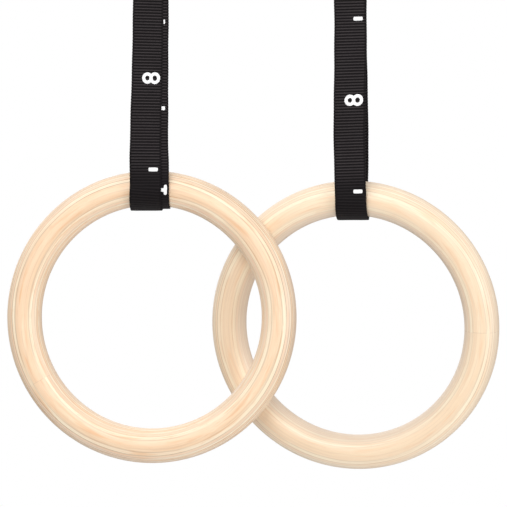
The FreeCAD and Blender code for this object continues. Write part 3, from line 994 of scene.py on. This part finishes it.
def finish_metal(node, material, width):
    """Keeps a CAD piece, with its metal and slightly broken edges."""
    piece = frame["nodes"][node]
    for index in range(max(1, len(piece.data.materials))):
        if index < len(piece.material_slots):
            piece.material_slots[index].material = MATERIALS[material]
        else:
            piece.data.materials.append(MATERIALS[material])
    bevel = piece.modifiers.new("broken_edges", "BEVEL")
    bevel.width = width
    bevel.segments = BEVEL_SEGMENTS
    bevel.limit_method = "ANGLE"
    bevel.angle_limit = BEVEL_ANGLE
    bevel.harden_normals = True


def build_side(side):
    """One side's strap, marks, keeper, stitches, ring and buckle."""
    upper, lower = side + "_strap_top", side + "_strap_foot"
    strap = Strap(side)
    cloth = strap_mesh(strap)
    put_on(cloth, MATERIALS["webbing"])
    runs = ("sewn_run", "adjusted_run", "tail", "inner_turn", "outer_turn")
    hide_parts(*[side + "_strap_" + run for run in runs])
    marks = ink_mesh(strap)
    put_on(marks, MATERIALS["ink"])
    for piece in (cloth, marks):
        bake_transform(piece)
    keeper = keeper_mesh(side)
    put_on(keeper, MATERIALS["elastic"], upper)
    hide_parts(side + "_keeper_band")
    for maker, node in ((box_stitch_mesh, "_sewn_end_stitching"), (hem_stitch_mesh, "_hem_stitching")):
        stitches = maker(side)
        put_on(stitches, MATERIALS["thread"], upper)
        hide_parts(side + node)
    ring = ring_mesh(side)
    put_on(ring, MATERIALS[side + "_birch"], side + "_hand_ring")
    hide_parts(side + "_ring")
    for node, (material, width) in METAL_PIECES.items():
        finish_metal(side + "_buckle_" + node, material, width)
    spring_mesh(side)


for side in SIDES:
    build_side(side)


# ---------------------------------------------------------------- stage, light and camera

VIEW_RIGHT = 0.0016
VIEW_BELOW = 0.0528
BETWEEN_RINGS = (RING_TOP["left"].x + RING_TOP["right"].x) / 2
VIEW_CENTRE = Vector((BETWEEN_RINGS + VIEW_RIGHT, 0, RING_TOP["left"].z - VIEW_BELOW))
VIEW_WIDTH = 0.4095
VIEW_DISTANCE = 2.5
VIEW_FAR = 50
SENSOR = 36.0
FLOOR_Z = -5.0
FLOOR_SIZE = 12.0
FLOOR_GLOW = 0.40
FLOOR_TONES = ((0.88, 0.88, 0.88, 1), (0.91, 0.91, 0.91, 1))
# The world's light by height: from the ground's, below the first level, to the sky's, above the second.
LIGHT_LEVELS = (-0.5, 0.7)
GROUND_LIGHT = 0.16
SKY_LIGHT = 0.88
# Each softbox: its place from the view's centre, its size, and its power in watts.
SOFTBOXES = {
    "front_box": ((-0.4, -2.3, 0.8), (1.6, 1.2), 31),
    "fill_box": ((1.9, -1.2, 0.0), (1.0, 1.4), 18),
    "top_box": ((-0.9, -0.4, 1.3), (1.2, 1.2), 9),
    "back_box": ((-0.6, 2.0, 0.9), (2.4, 2.0), 11),
}


def add_floor():
    """Pale floor far below, with a glow that makes it as bright as the ground behind the object."""
    bpy.ops.mesh.primitive_plane_add(size=FLOOR_SIZE, location=(VIEW_CENTRE.x, 0, FLOOR_Z))
    floor = bpy.context.object
    floor.name = "floor"
    s = Shader("floor_paint")
    tone = s.noise(s.place(), scale=3, detail=3)
    colour = s.blend(s.between(tone, 0.3, 0.7), *FLOOR_TONES)
    s.set(Base_Color=colour, Roughness=0.8, Emission_Color=(1, 1, 1, 1), Emission_Strength=FLOOR_GLOW)
    floor.data.materials.append(s.material)


def add_softbox(name, place, size, watts):
    """A rectangular light at a place from the view's centre, aimed at that centre."""
    light = bpy.data.lights.new(name, "AREA")
    light.shape = "RECTANGLE"
    light.size, light.size_y = size
    light.energy = watts
    lamp = bpy.data.objects.new(name, light)
    bpy.context.collection.objects.link(lamp)
    lamp.location = VIEW_CENTRE + Vector(place)
    lamp.rotation_euler = (-Vector(place)).to_track_quat("-Z", "Y").to_euler()


def add_world():
    """Pale light, stronger from above, and a white ground for what the camera sees past the object."""
    world = bpy.data.worlds.new("studio")
    world.use_nodes = True
    bpy.context.scene.world = world
    nodes, links = world.node_tree.nodes, world.node_tree.links
    seen = nodes["Background"]
    seen.inputs["Color"].default_value = (1, 1, 1, 1)
    seen.inputs["Strength"].default_value = 1.0
    lit = nodes.new("ShaderNodeBackground")
    height = nodes.new("ShaderNodeSeparateXYZ")
    links.new(nodes.new("ShaderNodeTexCoord").outputs["Generated"], height.inputs[0])
    rise = nodes.new("ShaderNodeMapRange")
    for index, value in enumerate((*LIGHT_LEVELS, GROUND_LIGHT, SKY_LIGHT), start=1):
        rise.inputs[index].default_value = value
    links.new(height.outputs["Z"], rise.inputs[0])
    links.new(rise.outputs[0], lit.inputs["Strength"])
    mix = nodes.new("ShaderNodeMixShader")
    links.new(nodes.new("ShaderNodeLightPath").outputs["Is Camera Ray"], mix.inputs[0])
    links.new(lit.outputs[0], mix.inputs[1])
    links.new(seen.outputs[0], mix.inputs[2])
    links.new(mix.outputs[0], nodes["World Output"].inputs["Surface"])


def add_camera():
    """A long lens, straight on, that takes in the view's width."""
    camera = bpy.data.cameras.new("camera")
    camera.sensor_width = SENSOR
    camera.lens = SENSOR * VIEW_DISTANCE / VIEW_WIDTH
    camera.clip_end = VIEW_FAR
    seat = bpy.data.objects.new("camera", camera)
    bpy.context.collection.objects.link(seat)
    seat.location = VIEW_CENTRE + Vector((0, -VIEW_DISTANCE, 0))
    seat.rotation_euler = (math.radians(90), 0, 0)
    bpy.context.scene.camera = seat


add_floor()
for name, (place, size, watts) in SOFTBOXES.items():
    add_softbox(name, place, size, watts)
add_world()
add_camera()
bpy.context.scene.view_settings.view_transform = "Standard"
